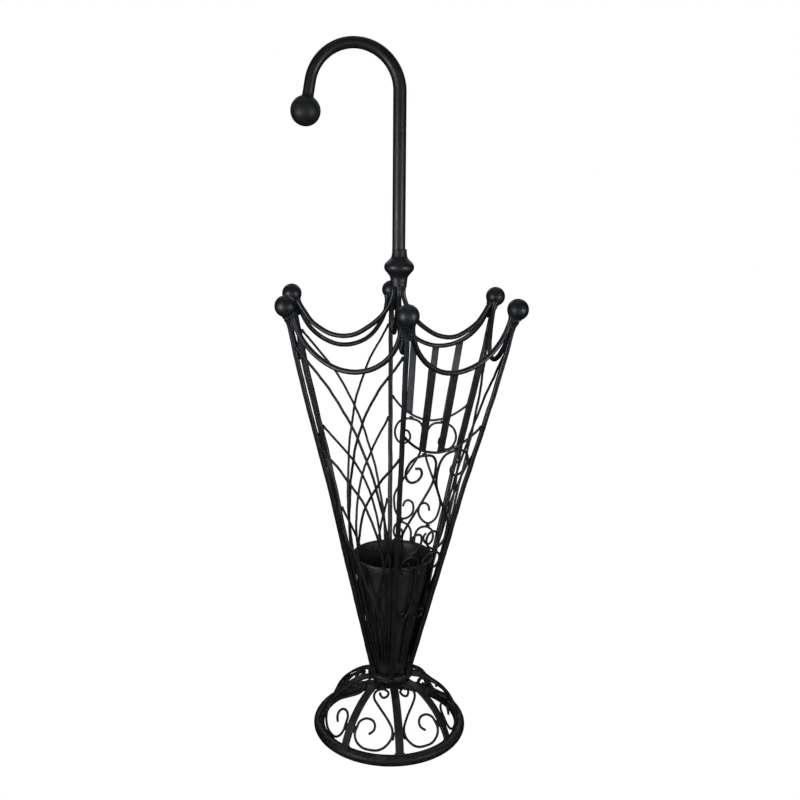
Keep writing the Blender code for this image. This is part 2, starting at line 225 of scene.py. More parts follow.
# The tones of the mottled black, and for each finish its roughness, peel, lumps, wear and dust
DARK, LIGHT = (0.0030, 0.0033, 0.0040), (0.0062, 0.0068, 0.0080)
# The cup's sheet paint is the same black set about twice as light, a lit copy standing for the light on the
# cup: painted light.
DARK_SHEET_PAINTED_LIGHT, LIGHT_SHEET_PAINTED_LIGHT = (0.0060, 0.0063, 0.0062), (0.0110, 0.0115, 0.0112)
# The foot's paint is the same black set a little lighter, a lit copy standing for the light on the foot:
# painted light.
DARK_FOOT_PAINTED_LIGHT, LIGHT_FOOT_PAINTED_LIGHT = (0.0036, 0.0038, 0.0041), (0.0072, 0.0075, 0.0080)
PAINTS = {
    "rod": paint("black_rod_paint", DARK, LIGHT, 0.42, 0.10, 0.12, 0.3, 0.12),
    "wire": paint("black_wire_paint", DARK, LIGHT, 0.46, 0.10, 0.10, 0.3, 0.10),
    "bar": paint("black_bar_paint", DARK, LIGHT, 0.42, 0.12, 0.12, 0.55, 0.12),
    "ball": paint("black_ball_paint", DARK, LIGHT, 0.42, 0.10, 0.08, 0.3, 0.12),
    "knob": paint("black_knob_paint", DARK, LIGHT, 0.56, 0.10, 0.06, 0.3, 0.05),
    "pole": paint("black_pole_paint", DARK, LIGHT, 0.42, 0.10, 0.06, 0.3, 0.05),
    "sheet": paint("black_sheet_paint", DARK_SHEET_PAINTED_LIGHT, LIGHT_SHEET_PAINTED_LIGHT, 0.48, 0.22, 0.14, 0.5, 0.30),
    "foot": paint("black_foot_paint", DARK_FOOT_PAINTED_LIGHT, LIGHT_FOOT_PAINTED_LIGHT, 0.45, 0.22, 0.18, 0.5, 0.14),
}


# ---------------------------------------------------------------- shapes

class Piece:
    """Gathers closed shells in millimetres and turns them into one piece that stands for a CAD node."""

    def __init__(self, node, finish):
        self.node = node
        self.finish = finish
        self.points = []
        self.wear = []
        self.faces = []

    def skin(self, rings, wear=0.0, loop=False):
        """Skin a row of rings. A ring of one point closes its end. wear is one value or a list per ring."""
        starts = []
        for number, ring in enumerate(rings):
            starts.append(len(self.points))
            self.points.extend(tuple(p) for p in ring)
            self.wear.extend(wear[number] if isinstance(wear, list) else [wear] * len(ring))
        counts = [len(ring) for ring in rings]
        pairs = list(zip(range(len(rings)), range(1, len(rings))))
        if loop:
            pairs.append((len(rings) - 1, 0))
        for i, j in pairs:
            n = max(counts[i], counts[j])
            for k in range(n):
                m = (k + 1) % n
                a, b = starts[i] + k % counts[i], starts[i] + m % counts[i]
                c, d = starts[j] + m % counts[j], starts[j] + k % counts[j]
                if counts[i] == 1:
                    self.faces.append((a, c, d))
                elif counts[j] == 1:
                    self.faces.append((a, b, d))
                else:
                    self.faces.append((a, b, c, d))

    def finish_piece(self, sharp=40.0):
        mesh = bpy.data.meshes.new(self.node + "_steel")
        mesh.from_pydata([Vector(p) * MM for p in self.points], [], self.faces)
        attribute = mesh.attributes.new("wear", "FLOAT", "POINT")
        attribute.data.foreach_set("value", np.array(self.wear, np.float32))
        mesh.validate()
        shells = bmesh.new()
        shells.from_mesh(mesh)
        bmesh.ops.recalc_face_normals(shells, faces=shells.faces)
        shells.to_mesh(mesh)
        shells.free()
        mesh.shade_smooth()
        mesh.set_sharp_from_angle(angle=math.radians(sharp))
        mesh.materials.append(PAINTS[self.finish])
        obj = bpy.data.objects.new(self.node + "_steel", mesh)
        bpy.context.scene.collection.objects.link(obj)
        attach(obj, "root")
        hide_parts(self.node)


def unit(v):
    return v / np.linalg.norm(v, axis=-1, keepdims=True)


def smooth_curve(points, spacing):
    """Catmull-Rom curve through the points, sampled about every spacing."""
    points = np.array(points, float)
    padded = np.vstack([2 * points[0] - points[1], points, 2 * points[-1] - points[-2]])
    fine = []
    for i in range(1, len(padded) - 2):
        a, b, c, d = padded[i - 1:i + 3]
        for t in np.arange(24) / 24:
            fine.append(0.5 * (2 * b + (c - a) * t + (2 * a - 5 * b + 4 * c - d) * t ** 2
                               + (3 * b - a - 3 * c + d) * t ** 3))
    fine.append(points[-1])
    return resampled(np.array(fine), spacing)


def resampled(path, spacing):
    lengths = np.concatenate([[0], np.cumsum(np.linalg.norm(np.diff(path, axis=0), axis=1))])
    steps = max(3, round(lengths[-1] / spacing))
    wanted = np.linspace(0, lengths[-1], steps + 1)
    return np.stack([np.interp(wanted, lengths, path[:, k]) for k in range(path.shape[1])], axis=1)


def profile_value(profile, x):
    """Smooth reading of a profile of (x, y) points at x."""
    for i in range(len(profile) - 1):
        if x <= profile[i + 1][0] or i == len(profile) - 2:
            break
    before = profile[max(i - 1, 0)]
    start, end = profile[i], profile[i + 1]
    after = profile[min(i + 2, len(profile) - 1)]
    span = end[0] - start[0]
    t = (x - start[0]) / span
    slope_start = (end[1] - before[1]) / (end[0] - before[0]) * span
    slope_end = (after[1] - start[1]) / (after[0] - start[0]) * span
    return ((2 * t ** 3 - 3 * t ** 2 + 1) * start[1] + (t ** 3 - 2 * t ** 2 + t) * slope_start
            + (3 * t ** 2 - 2 * t ** 3) * end[1] + (t ** 3 - t ** 2) * slope_end)


def direction(turn):
    """Level unit vector at a turn in degrees from the front (-Y) towards +X."""
    angle = math.radians(turn)
    return np.array([math.sin(angle), -math.cos(angle), 0.0])


def sideways_of(out):
    return np.array([-out[1], out[0], 0.0])


UP = np.array([0.0, 0.0, 1.0])


def ripple(rng, count, length, amount, waves=(55.0, 23.0, 9.0)):
    """Slow random bends along a bar, count values of about the given amount."""
    s = np.linspace(0, length, count)
    total = np.zeros(count)
    for wave, share in zip(waves, (1.0, 0.4, 0.18)):
        stretched = wave * rng.uniform(0.8, 1.25)
        total += share * np.sin(2 * math.pi * s / stretched + rng.uniform(0, 2 * math.pi))
    return total * amount


def end_fade(lengths, room=12.0):
    """0 at both ends and 1 in the middle, so that a bent bar still meets its neighbours."""
    total = lengths[-1]
    near = np.minimum(lengths, total - lengths)
    return np.clip(near / min(room, total / 2 + 1e-9), 0, 1) ** 2


def path_frame(path, outward):
    tangent = unit(np.gradient(path, axis=0))
    side = unit(np.cross(tangent, outward))
    return tangent, side, np.cross(side, tangent)


def rod(piece, path, outward, radius, sides, start=0.0, end=0.0, bend=0.0, seed=1, weld=2.4):
    """Round bar along the path; radius may vary. start and end are how much the welds at its ends swell."""
    rng = np.random.default_rng(seed)
    path = np.array(path, float)
    outward = np.broadcast_to(np.array(outward, float), path.shape)
    tangent, side, out = path_frame(path, outward)
    lengths = np.concatenate([[0], np.cumsum(np.linalg.norm(np.diff(path, axis=0), axis=1))])
    total = lengths[-1]
    if bend:
        fade = end_fade(lengths)
        path = (path + side * (ripple(rng, len(path), total, bend) * fade)[:, None]
                + out * (ripple(rng, len(path), total, bend) * fade)[:, None])
    swell = start * np.exp(-(lengths / weld) ** 2) + end * np.exp(-((total - lengths) / weld) ** 2)
    angles = 2 * math.pi * np.arange(sides) / sides
    lobes = np.zeros((len(path), sides))
    for k in range(2, 6):
        phase = rng.uniform(0, 6.28)
        lobes += np.sin(k * angles[None, :] + phase + lengths[:, None] * rng.uniform(0.6, 1.6)) / k
    radii = np.broadcast_to(radius, len(path))
    size = radii[:, None] * (1 + 0.004 * lobes) + swell[:, None] * (1 + 0.4 * lobes)
    rings = []
    for i in range(len(path)):
        circle = np.cos(angles)[:, None] * side[i] + np.sin(angles)[:, None] * out[i]
        rings.append(path[i] + circle * size[i][:, None])
    before = end_rings(rings[0], -tangent[0], radii[0])
    after = end_rings(rings[-1], tangent[-1], radii[-1])
    piece.skin(before[::-1] + rings + after)


def end_rings(ring, forward, radius):
    """A sawn end with its edge rounded off."""
    centre = ring.mean(axis=0)
    rings = []
    for share, ahead in ((0.93, 0.10), (0.78, 0.17), (0.4, 0.20)):
        rings.append(centre + (ring - centre) * share + forward * radius * ahead)
    rings.append((centre + forward * radius * 0.21)[None, :])
    return rings


def rounded_section(width, thickness, corner):
    """Outline of a flat bar with rounded corners, as (sideways, outward, wear)."""
    outline = []
    x, y = width / 2 - corner, thickness / 2 - corner
    for cx, cy, first in ((x, y, 0), (-x, y, 90), (-x, -y, 180), (x, -y, 270)):
        for step in range(5):
            angle = math.radians(first + 22.5 * step)
            outline.append((cx + corner * math.cos(angle), cy + corner * math.sin(angle), 1.0))
    full = []
    for k, point in enumerate(outline):
        full.append(point)
        after = outline[(k + 1) % len(outline)]
        gap = math.hypot(after[0] - point[0], after[1] - point[1])
        if gap > 1.0:
            for share in (0.35 / gap, 0.5, 1 - 0.35 / gap):
                full.append((point[0] + (after[0] - point[0]) * share,
                             point[1] + (after[1] - point[1]) * share, 0.0))
    return full


def flat_bar(piece, path, outward, width, thickness, corner, bend, seed):
    """Flat bar along the path; its edges are rounded and its faces a little uneven."""
    rng = np.random.default_rng(seed)
    path = np.array(path, float)
    outward = np.broadcast_to(np.array(outward, float), path.shape)
    tangent, side, out = path_frame(path, outward)
    lengths = np.concatenate([[0], np.cumsum(np.linalg.norm(np.diff(path, axis=0), axis=1))])
    fade = end_fade(lengths)
    path = path + out * (ripple(rng, len(path), lengths[-1], bend) * fade)[:, None]
    wide = 1 + ripple(rng, len(path), lengths[-1], 0.006)
    section = rounded_section(width, thickness, corner)
    wear = [w for _, _, w in section]
    rings = []
    for i in range(len(path)):
        rings.append(np.array([path[i] + side[i] * u * wide[i] + out[i] * v for u, v, _ in section]))

    def cap(ring, forward):
        centre = ring.mean(axis=0)
        result = []
        for shrink, ahead in ((0.12, 0.03), (0.3, 0.15), (0.6, 0.25)):
            inner = []
            for (u, v, _), p in zip(section, ring):
                away = p - centre
                length = np.linalg.norm(away)
                inner.append(p - away / length * min(shrink, length * 0.5) + forward * ahead)
            result.append(np.array(inner))
        result.append(centre + (ring - centre) * 0.3 + forward * 0.26)
        result.append((centre + forward * 0.26)[None, :])
        return result

    rings = cap(rings[0], -tangent[0])[::-1] + rings + cap(rings[-1], tangent[-1])
    piece.skin(rings, [[0.6] if len(ring) == 1 else wear for ring in rings])


def bead(piece, start, end, radius, seed, sides=10):
    """Weld bead between two points, with the ripples that a weld leaves."""
    rng = np.random.default_rng(seed)
    start, end = np.array(start, float), np.array(end, float)
    length = np.linalg.norm(end - start)
    axis = (end - start) / length
    helper = UP if abs(axis[2]) < 0.8 else np.array([1.0, 0.0, 0.0])
    side = unit(np.cross(axis, helper))
    up = np.cross(side, axis)
    count = max(9, int(length / 0.35) + 7)
    angles = 2 * math.pi * np.arange(sides) / sides
    phase = rng.uniform(0, 6.28)
    rings = [(start - axis * radius * 0.75)[None, :]]
    for i in range(1, count):
        t = i / count
        s = -radius * 0.75 + (length + 1.5 * radius) * t
        envelope = math.sqrt(max(0.0, 1 - (2 * t - 1) ** 4))
        wave = 1 + 0.10 * math.sin(2 * math.pi * s / 1.3 + phase)
        lobes = 1 + 0.10 * np.sin(3 * angles + rng.uniform(0, 0.8) + phase) + 0.05 * np.sin(5 * angles + s)
        size = radius * envelope * wave * lobes
        rings.append(start + axis * s + np.cos(angles)[:, None] * side * size[:, None]
                     + np.sin(angles)[:, None] * up * size[:, None])
    rings.append((end + axis * radius * 0.75)[None, :])
    piece.skin(rings, 0.5)


def lathe(piece, profile, steps, centre=(0, 0, 0), wear=None, uneven=0.0, seed=1):
    """Turn a profile of (radius, height) points about Z; radius 0 is a pole."""
    rng = np.random.default_rng(seed)
    centre = np.array(centre, float)
    angles = 2 * math.pi * np.arange(steps) / steps
    phases = rng.uniform(0, 6.28, 4)
    rings, wears = [], []
    for index, (radius, height) in enumerate(profile):
        value = 0.0 if wear is None else wear[index]
        if radius == 0:
            rings.append((centre + UP * height)[None, :])
            wears.append([value])
            continue
        waves = sum(np.sin((k + 2) * angles + phases[k] + height * 0.11 * (k + 1)) / (k + 2)
                    for k in range(4))
        size = radius + uneven * waves
        rings.append(centre + np.stack([size * np.cos(angles), size * np.sin(angles),
                                        np.full(steps, float(height))], axis=1))
        wears.append([value] * steps)
    piece.skin(rings, wears)


def ball(piece, radius, centre, steps=48, rows=28):
    profile = [(0, -radius)]
    for k in range(1, rows):
        angle = math.pi * k / rows
        profile.append((radius * math.sin(angle), -radius * math.cos(angle)))
    profile.append((0, radius))
    lathe(piece, profile, steps, centre)


# ---------------------------------------------------------------- the umbrella

def rib_radius(drop):
    return profile_value(RIB_PROFILE, drop)


HALF_BAY = math.cos(math.pi / RIB_COUNT)


def panel_point(bay, across, drop, offset=0.0):
    """A point on the surface between two ribs, and its outward direction."""
    middle = direction(BAY_TURN * bay + BAY_TURN / 2)
    slope = (rib_radius(drop + 1) - rib_radius(drop - 1)) / 2 * HALF_BAY
    out = unit(middle + UP * slope)
    point = middle * rib_radius(drop) * HALF_BAY + sideways_of(middle) * across + UP * (RIM_HEIGHT - drop)
    return point + out * offset, out


def panel_path(bay, curve, offset=0.0):
    pairs = [panel_point(bay, across, drop, offset) for across, drop in curve]
    return np.array([p for p, _ in pairs]), np.array([o for _, o in pairs])


def mirrored(outline):
    return [(-across, drop) for across, drop in outline]


def rib_point(turn, drop):
    return direction(turn) * rib_radius(drop) + UP * (RIM_HEIGHT - drop)


def build_ribs():
    for k in range(RIB_COUNT):
        turn = BAY_TURN * k
        out = direction(turn)
        piece = Piece(f"rib_{k + 1}", "rod")
        drops = np.concatenate([np.linspace(9.0, 18.0, 10), np.linspace(20.0, 450.0, 190),
                                np.linspace(451.5, 461.5, 9)])
        path = [rib_point(turn, drop) for drop in drops]
        rod(piece, path, out, ROD_RADIUS, ROD_SIDES, start=3.1, end=1.0, bend=0.16, seed=10 + k, weld=7.5)
        foot = rib_point(turn, 459.5)
        side = sideways_of(out)
        bead(piece, foot + out * 1.2 - side * 3.2, foot + out * 1.2 + side * 3.2, 1.25, 30 + k)
        piece.finish_piece()

        piece = Piece(f"rim_ball_{k + 1}", "ball")
        ball(piece, RIM_BALL_RADIUS - 0.02, out * RIM_RADIUS + UP * RIM_HEIGHT)
        piece.finish_piece()


def build_swags():
    for bay in range(RIB_COUNT):
        angles = np.linspace(-SWAG_END_ANGLE, SWAG_END_ANGLE, 111)
        curve = [(SWAG_HALF_WIDTH * math.sin(a), SWAG_DEPTH * math.cos(a)) for a in angles]
        piece = Piece(f"rim_swag_{bay + 1}", "rod")
        path, out = panel_path(bay, curve)
        rod(piece, path, out, ROD_RADIUS, ROD_SIDES, start=1.1, end=1.1, bend=0.14, seed=50 + bay, weld=5.0)
        for way in (-1, 1):
            high, _ = panel_point(bay, way * 67.4, 12.5)
            low, _ = panel_point(bay, way * 65.6, 25.0)
            bead(piece, low, high, 2.3, 60 + bay)
        piece.finish_piece()


def build_hangers():
    """The rods that carry the collar; each hangs from the collar down and out to a rim ball."""
    profile = ((6.2, COLLAR_BOTTOM + 1.5), (7.4, 5), (14, -9), (29, -26), (58, -43.5), (87, -46), (114, -34),
               (127, -21), (137.4, -7.2))
    for number, turn in enumerate(HANGER_TURNS):
        out = direction(turn)
        path = [out * r + UP * (RIM_HEIGHT + h) for r, h in smooth_curve(profile, 1.5)]
        piece = Piece(f"hanger_{number + 1}", "rod")
        rod(piece, path, sideways_of(out), ROD_RADIUS, ROD_SIDES, start=0.9, end=1.3, bend=0.14,
            seed=70 + number, weld=3.6)
        piece.finish_piece()


def build_reed_panel(number, bay):
    """Six reeds in three crossing pairs, welded where they cross and where they meet the ribs."""
    piece = Piece(f"reed_panel_{number}", "wire")
    seed = 100 + 20 * number
    for turn_over, offset in ((list, WELD_OFFSET), (mirrored, -WELD_OFFSET)):
        for outline in (LONG_REED, MIDDLE_REED, SHORT_REED):
            curve = smooth_curve(turn_over(outline), 1.6)
            lean = curve[0] - curve[3]
            curve[0] = curve[0] + lean / np.linalg.norm(lean) * WELD_REACH
            path, out = panel_path(bay, curve, offset)
            seed += 1
            rod(piece, path, out, WIRE_RADIUS, WIRE_SIDES, start=0.75, end=0.3, bend=0.26,
                seed=seed, weld=2.2)
    for drop in REED_CROSSINGS:
        low, _ = panel_point(bay, 0, drop + 1.0)
        high, _ = panel_point(bay, 0, drop - 1.0)
        bead(piece, low, high, 1.35, seed + int(drop))
    piece.finish_piece()


def build_bar_panel(number, bay):
    """Three flat bars on a sagging cross wire, a pair of scrolls under it, and a scrolled stem."""
    seed = 200 + 30 * number
    piece = Piece(f"bar_panel_{number}", "bar")
    curve = smooth_curve(CROSS_WIRE, 1.5)
    curve[0] += (curve[0] - curve[2]) * 1.2
    curve[-1] += (curve[-1] - curve[-3]) * 1.2
    path, out = panel_path(bay, curve)
    rod(piece, path, out, WIRE_RADIUS, WIRE_SIDES, start=0.8, end=0.8, bend=0.12, seed=seed)
    for index, (top, foot) in enumerate(BAR_ENDS):
        run = np.linspace(0, 1, 64)[:, None] * (np.array(foot) - np.array(top)) + np.array(top)
        path, out = panel_path(bay, run, BAR_OFFSETS[number - 1])
        flat_bar(piece, path, out, BAR_WIDTH, BAR_THICKNESS, 0.55, 0.10, seed + index + 1)
        side = unit(np.cross(path[0] - path[-1], out[0])) * 2.9
        for level in (path[2], path[-2]):
            behind = level - out[0]
            bead(piece, behind - side, behind + side, 1.15, seed + 7 + index)
    piece.finish_piece()

    for side_name, turn_over, way in (("right", list, 1), ("left", mirrored, -1)):
        piece = Piece(f"scroll_{side_name}_{number}", "wire")
        path, out = panel_path(bay, smooth_curve(turn_over(UPPER_SCROLL), 1.25))
        rod(piece, path, out, WIRE_RADIUS, WIRE_SIDES, bend=0.10, seed=seed + 11 + way)
        a, _ = panel_point(bay, way * 19.6, 158.5)
        b, _ = panel_point(bay, way * 24.4, 157.7)
        bead(piece, a, b, 1.15, seed + 14)
        if way == 1:
            a, _ = panel_point(bay, 0, 181.5)
            b, _ = panel_point(bay, 0, 188.5)
            bead(piece, a, b, 1.1, seed + 15)
        piece.finish_piece()

    piece = Piece(f"scroll_stem_{number}", "bar")
    top, foot = np.array(STEM_BAR)
    run = np.linspace(0, 1, 48)[:, None] * (foot - top) + top
    path, out = panel_path(bay, run)
    flat_bar(piece, path, out, STEM_WIDTH, BAR_THICKNESS, 0.55, 0.08, seed + 16)
    for index, turn_over in enumerate((list, mirrored)):
        path, out = panel_path(bay, smooth_curve(turn_over(LOWER_SCROLL), 1.25))
        rod(piece, path, out, WIRE_RADIUS, WIRE_SIDES, bend=0.10, seed=seed + 17 + index)
        way = 1 if index == 0 else -1
        a, _ = panel_point(bay, way * 16.5, 287.6)
        b, _ = panel_point(bay, way * 21.5, 288.2)
        bead(piece, a, b, 1.15, seed + 19 + index)
    for level in (315.0, 346.0):
        a, _ = panel_point(bay, 0, level - 3.0)
        b, _ = panel_point(bay, 0, level + 3.0)
        bead(piece, a, b, 1.5, seed + 22 + int(level))
    piece.finish_piece()


# ---------------------------------------------------------------- the cup, the hub and the foot

def build_cup():
    """Sheet metal cup with a rolled rim and a lapped seam at the back, standing on the hub's plate."""
    piece = Piece("cup", "sheet")
    floor, rim = CUP_FLOOR_HEIGHT, CUP_RIM_HEIGHT
    top_wall = rim - 2.2

    def wall_radius(height):
        share = (height - floor) / (top_wall - floor)
        return CUP_FLOOR_RADIUS + (CUP_RIM_RADIUS - 0.6 - CUP_FLOOR_RADIUS) * share

    profile, wear = [(0, floor)], [0.0]
    for radius in (6, 12, 17, CUP_FLOOR_RADIUS - 1.2):
        profile.append((radius, floor))
        wear.append(0.0)
    for height in np.concatenate([[floor + 0.5, floor + 1.2], np.linspace(floor + 4, top_wall - 2, 46)]):
        profile.append((wall_radius(height), height))
        wear.append(0.15)
    for k in range(15):
        angle = math.radians(-150 + 20 * k)
        profile.append((CUP_RIM_RADIUS + 0.15 + CUP_BEAD_RADIUS * math.cos(angle),
                        rim - 0.05 + CUP_BEAD_RADIUS * math.sin(angle)))
        wear.append(0.9 if 40 < math.degrees(angle) < 140 else 0.4)
    inner_top = rim - 1.6
    for height in np.concatenate([np.linspace(inner_top - 2, floor + 5, 46), [floor + CUP_SHEET + 1.0]]):
        profile.append((wall_radius(height) - CUP_SHEET, height))
        wear.append(0.0)
    for radius in (CUP_FLOOR_RADIUS - 2.4, 14, 9, 4):
        profile.append((radius, floor + CUP_SHEET))
        wear.append(0.0)
    profile.append((0, floor + CUP_SHEET))
    wear.append(0.0)
    lathe(piece, profile, 120, wear=wear, uneven=0.16, seed=300)

    out = direction(CUP_SEAM_TURN)
    path = [out * (wall_radius(height) - CUP_SHEET / 2) + UP * height
            for height in np.linspace(floor + 3, rim - 3.2, 90)]
    flat_bar(piece, path, out, 7.5, CUP_SHEET + 0.9, 0.4, 0.05, 301)
    for k in range(9):
        height = floor + 14 + 15.5 * k
        spot = out * (wall_radius(height) - CUP_SHEET - 0.15) + UP * height
        bead(piece, spot - UP * 0.7, spot + UP * 0.7, 1.3, 310 + k)
    for k in range(3):
        turn = 40 + 120 * k
        spot = direction(turn) * (CUP_FLOOR_RADIUS + 0.5) + UP * (floor + 0.4)
        along = sideways_of(direction(turn))
        bead(piece, spot - along * 4, spot + along * 4, 1.1, 320 + k)
    piece.finish_piece(55)


def build_hub():
    """Disc that carries the ribs and the cup, with the boss that the foot bars meet."""
    piece = Piece("foot_hub", "foot")
    profile, wear = [], []

    def add(radius, height, rubbed=0.0):
        profile.append((radius, height))
        wear.append(rubbed)

    for radius in (0, 7, 14, BOSS_RADIUS - 2.4):
        add(radius, BOSS_BOTTOM)
    for k in range(6):
        angle = math.radians(-90 + 18 * k)
        add(BOSS_RADIUS - 2 + 2 * math.cos(angle), BOSS_BOTTOM + 2 + 2 * math.sin(angle), 0.8)
    for height in (BOSS_BOTTOM + 3.5, DISC_BOTTOM - 2.2):
        add(BOSS_RADIUS, height)
    for k in range(5):
        angle = math.radians(180 - 22.5 * k)
        add(BOSS_RADIUS + 1.4 + 1.4 * math.cos(angle), DISC_BOTTOM - 1.4 + 1.4 * math.sin(angle))
    add(DISC_RADIUS - 2.0, DISC_BOTTOM)
    for k in range(6):
        angle = math.radians(-90 + 18 * k)
        add(DISC_RADIUS - 1.5 + 1.5 * math.cos(angle), DISC_BOTTOM + 1.5 + 1.5 * math.sin(angle), 0.7)
    for k in range(6):
        angle = math.radians(18 * k)
        add(DISC_RADIUS - 1.5 + 1.5 * math.cos(angle), DISC_TOP - 1.5 + 1.5 * math.sin(angle), 1.0)
    for radius in (DISC_RADIUS - 2.2, 22, 14, 7, 0):
        add(radius, DISC_TOP)
    lathe(piece, profile, 96, wear=wear, uneven=0.08, seed=330)
    bar_height = FOOT_PROFILE[0][1]
    for k in range(FOOT_BAR_COUNT):
        out = direction(FOOT_TURN + FOOT_BAY_TURN * k)
        side = sideways_of(out)
        spot = out * (BOSS_RADIUS + 0.2) + UP * (bar_height - 1.7)
        bead(piece, spot - side * 4.2, spot + side * 4.2, 1.3, 340 + k)
        for way in (-1, 1):
            end = out * (BOSS_RADIUS + 0.3) + side * way * 5.1 + UP * bar_height
            bead(piece, end - UP * 1.1, end + UP * 1.1, 1.2, 350 + 2 * k + way)
    piece.finish_piece(50)


def build_foot_ring():
    """Round rod bent to a ring, with a ground-back butt weld at the back."""
    piece = Piece("foot_ring", "foot")
    rng = np.random.default_rng(370)
    steps, sides = 224, 28
    turns = np.arange(steps) * 360 / steps
    phases = rng.uniform(0, 6.28, 5)
    rings, wears = [], []
    for turn in turns:
        out = direction(turn)
        from_weld = (turn - RING_WELD_TURN + 180) % 360 - 180
        swell = 0.32 * math.exp(-(from_weld / 1.6) ** 2)
        wave = sum(math.sin(math.radians(turn) * (k + 3) + phases[k]) / (k + 3) for k in range(5))
        ring, wear = [], []
        for j in range(sides):
            angle = 2 * math.pi * j / sides
            size = RING_ROD_RADIUS - 0.02 + max(0.0, math.sin(angle)) * (swell + 0.05 * wave)
            radius = RING_RADIUS + 0.12 * wave * max(0.0, math.sin(angle)) + size * math.cos(angle)
            ring.append(out * radius + UP * (RING_ROD_RADIUS + size * math.sin(angle)))
            wear.append(1.0 if angle > math.radians(200) and angle < math.radians(340) else 0.25)
        rings.append(np.array(ring))
        wears.append(wear)
    piece.skin(rings, wears, loop=True)
    piece.finish_piece()


def foot_height(radius):
    return profile_value(FOOT_PROFILE, radius)


def build_foot_bars():
    outline = ((17.0, 69.55),) + FOOT_PROFILE + ((88.9, 10.4),)
    profile = smooth_curve(outline, 1.2)
    for k in range(FOOT_BAR_COUNT):
        out = direction(FOOT_TURN + FOOT_BAY_TURN * k)
        side = sideways_of(out)
        path = np.array([out * r + UP * h for r, h in profile])
        tangent = unit(np.gradient(path, axis=0))
        outward = np.cross(side, tangent)
        piece = Piece(f"foot_bar_{k + 1}", "foot")
        flat_bar(piece, path, outward, FOOT_BAR_WIDTH, FOOT_BAR_THICKNESS, 0.8, 0.12, 380 + k)
        foot = out * 87.5 + UP * 14.2
        off = outward[-4]
        for way in (-1, 1):
            edge = foot + side * way * 5.0
            bead(piece, edge + off * 1.2, edge - off * 1.6 - UP * 0.6, 1.25, 400 + 2 * k + way)
        bead(piece, foot - side * 4.2 + off * 1.5, foot + side * 4.2 + off * 1.5, 1.35, 420 + k)
        piece.finish_piece(50)


def foot_scroll_point(k, radius, across, share=1.0):
    """A point of bay k of the dome, with a share of the bay's offset, and the direction out of the dome."""
    middle = direction(FOOT_TURN + FOOT_BAY_TURN * k + FOOT_BAY_TURN / 2)
    hand = 1 if k % 2 == 0 else -1
    half_bay = math.cos(math.pi / FOOT_BAR_COUNT)
    slope = (foot_height(radius + 0.5) - foot_height(radius - 0.5)) / half_bay
    reach = radius * half_bay + FOOT_SCROLL_OFFSETS.get(k, 0.0) * share
    point = middle * reach + sideways_of(middle) * hand * across + UP * foot_height(radius)
    return point, unit(UP - middle * slope)


def build_foot_scrolls():
    """One wire scroll between each two foot bars, turned over in every other bay."""
    for k in range(FOOT_BAR_COUNT):
        curve = smooth_curve(FOOT_SCROLL, 1.2)
        pairs = [foot_scroll_point(k, radius, across) for radius, across in curve]
        piece = Piece(f"foot_scroll_{k + 1}", "wire")
        path, out = np.array([p for p, _ in pairs]), np.array([o for _, o in pairs])
        rod(piece, path, out, WIRE_RADIUS, WIRE_SIDES, bend=0.10, seed=440 + k)
        for radius, across in ((79.0, 24.6), (79.5, -23.4)):
            a, _ = foot_scroll_point(k, radius - 2.0, across, 0.5)
            b, _ = foot_scroll_point(k, radius + 2.0, across, 0.5)
            bead(piece, a, b, 1.5, 460 + k)
        piece.finish_piece()


# ---------------------------------------------------------------- the handle

def build_collar():
    """The turned collar on the hangers: neck, belly and a lipped socket for the pole."""
    base = RIM_HEIGHT
    body = smooth_curve(((9.2, 17.2), (9.6, 22), (10.4, 27.5), (13.2, 31.5), (16.2, 35), (17.25, 38.6),
                         (16.2, 42.5), (12.6, 46.3), (9.6, 49.6), (8.7, 53.4), (8.35, 56.6)), 0.6)
    profile = [(0, COLLAR_BOTTOM), (4, COLLAR_BOTTOM), (7.9, COLLAR_BOTTOM), (8.7, COLLAR_BOTTOM + 0.3)]
    wear = [0.0, 0.0, 0.6, 0.8]
    for radius, height in body:
        profile.append((radius, height))
        wear.append(0.7 if 36.5 < height < 40.5 else 0.0)
    for k in range(7):
        angle = math.radians(-60 + 25 * k)
        profile.append((7.75 + 0.95 * math.cos(angle), COLLAR_TOP - 1.0 + 0.95 * math.sin(angle)))
        wear.append(1.0)
    profile.append((0, COLLAR_TOP - 0.6))
    wear.append(0.0)
    piece = Piece("collar", "pole")
    lathe(piece, [(r, base + h) for r, h in profile], 80, wear=wear, uneven=0.05, seed=480)
    for number, turn in enumerate((0, 58, 120, 182, 240)):
        out = direction(turn)
        spot = out * 7.6 + UP * (base + COLLAR_BOTTOM + 0.7)
        along = sideways_of(out)
        bead(piece, spot - along * 2.6, spot + along * 2.6, 1.5, 490 + number)
    piece.finish_piece(35)


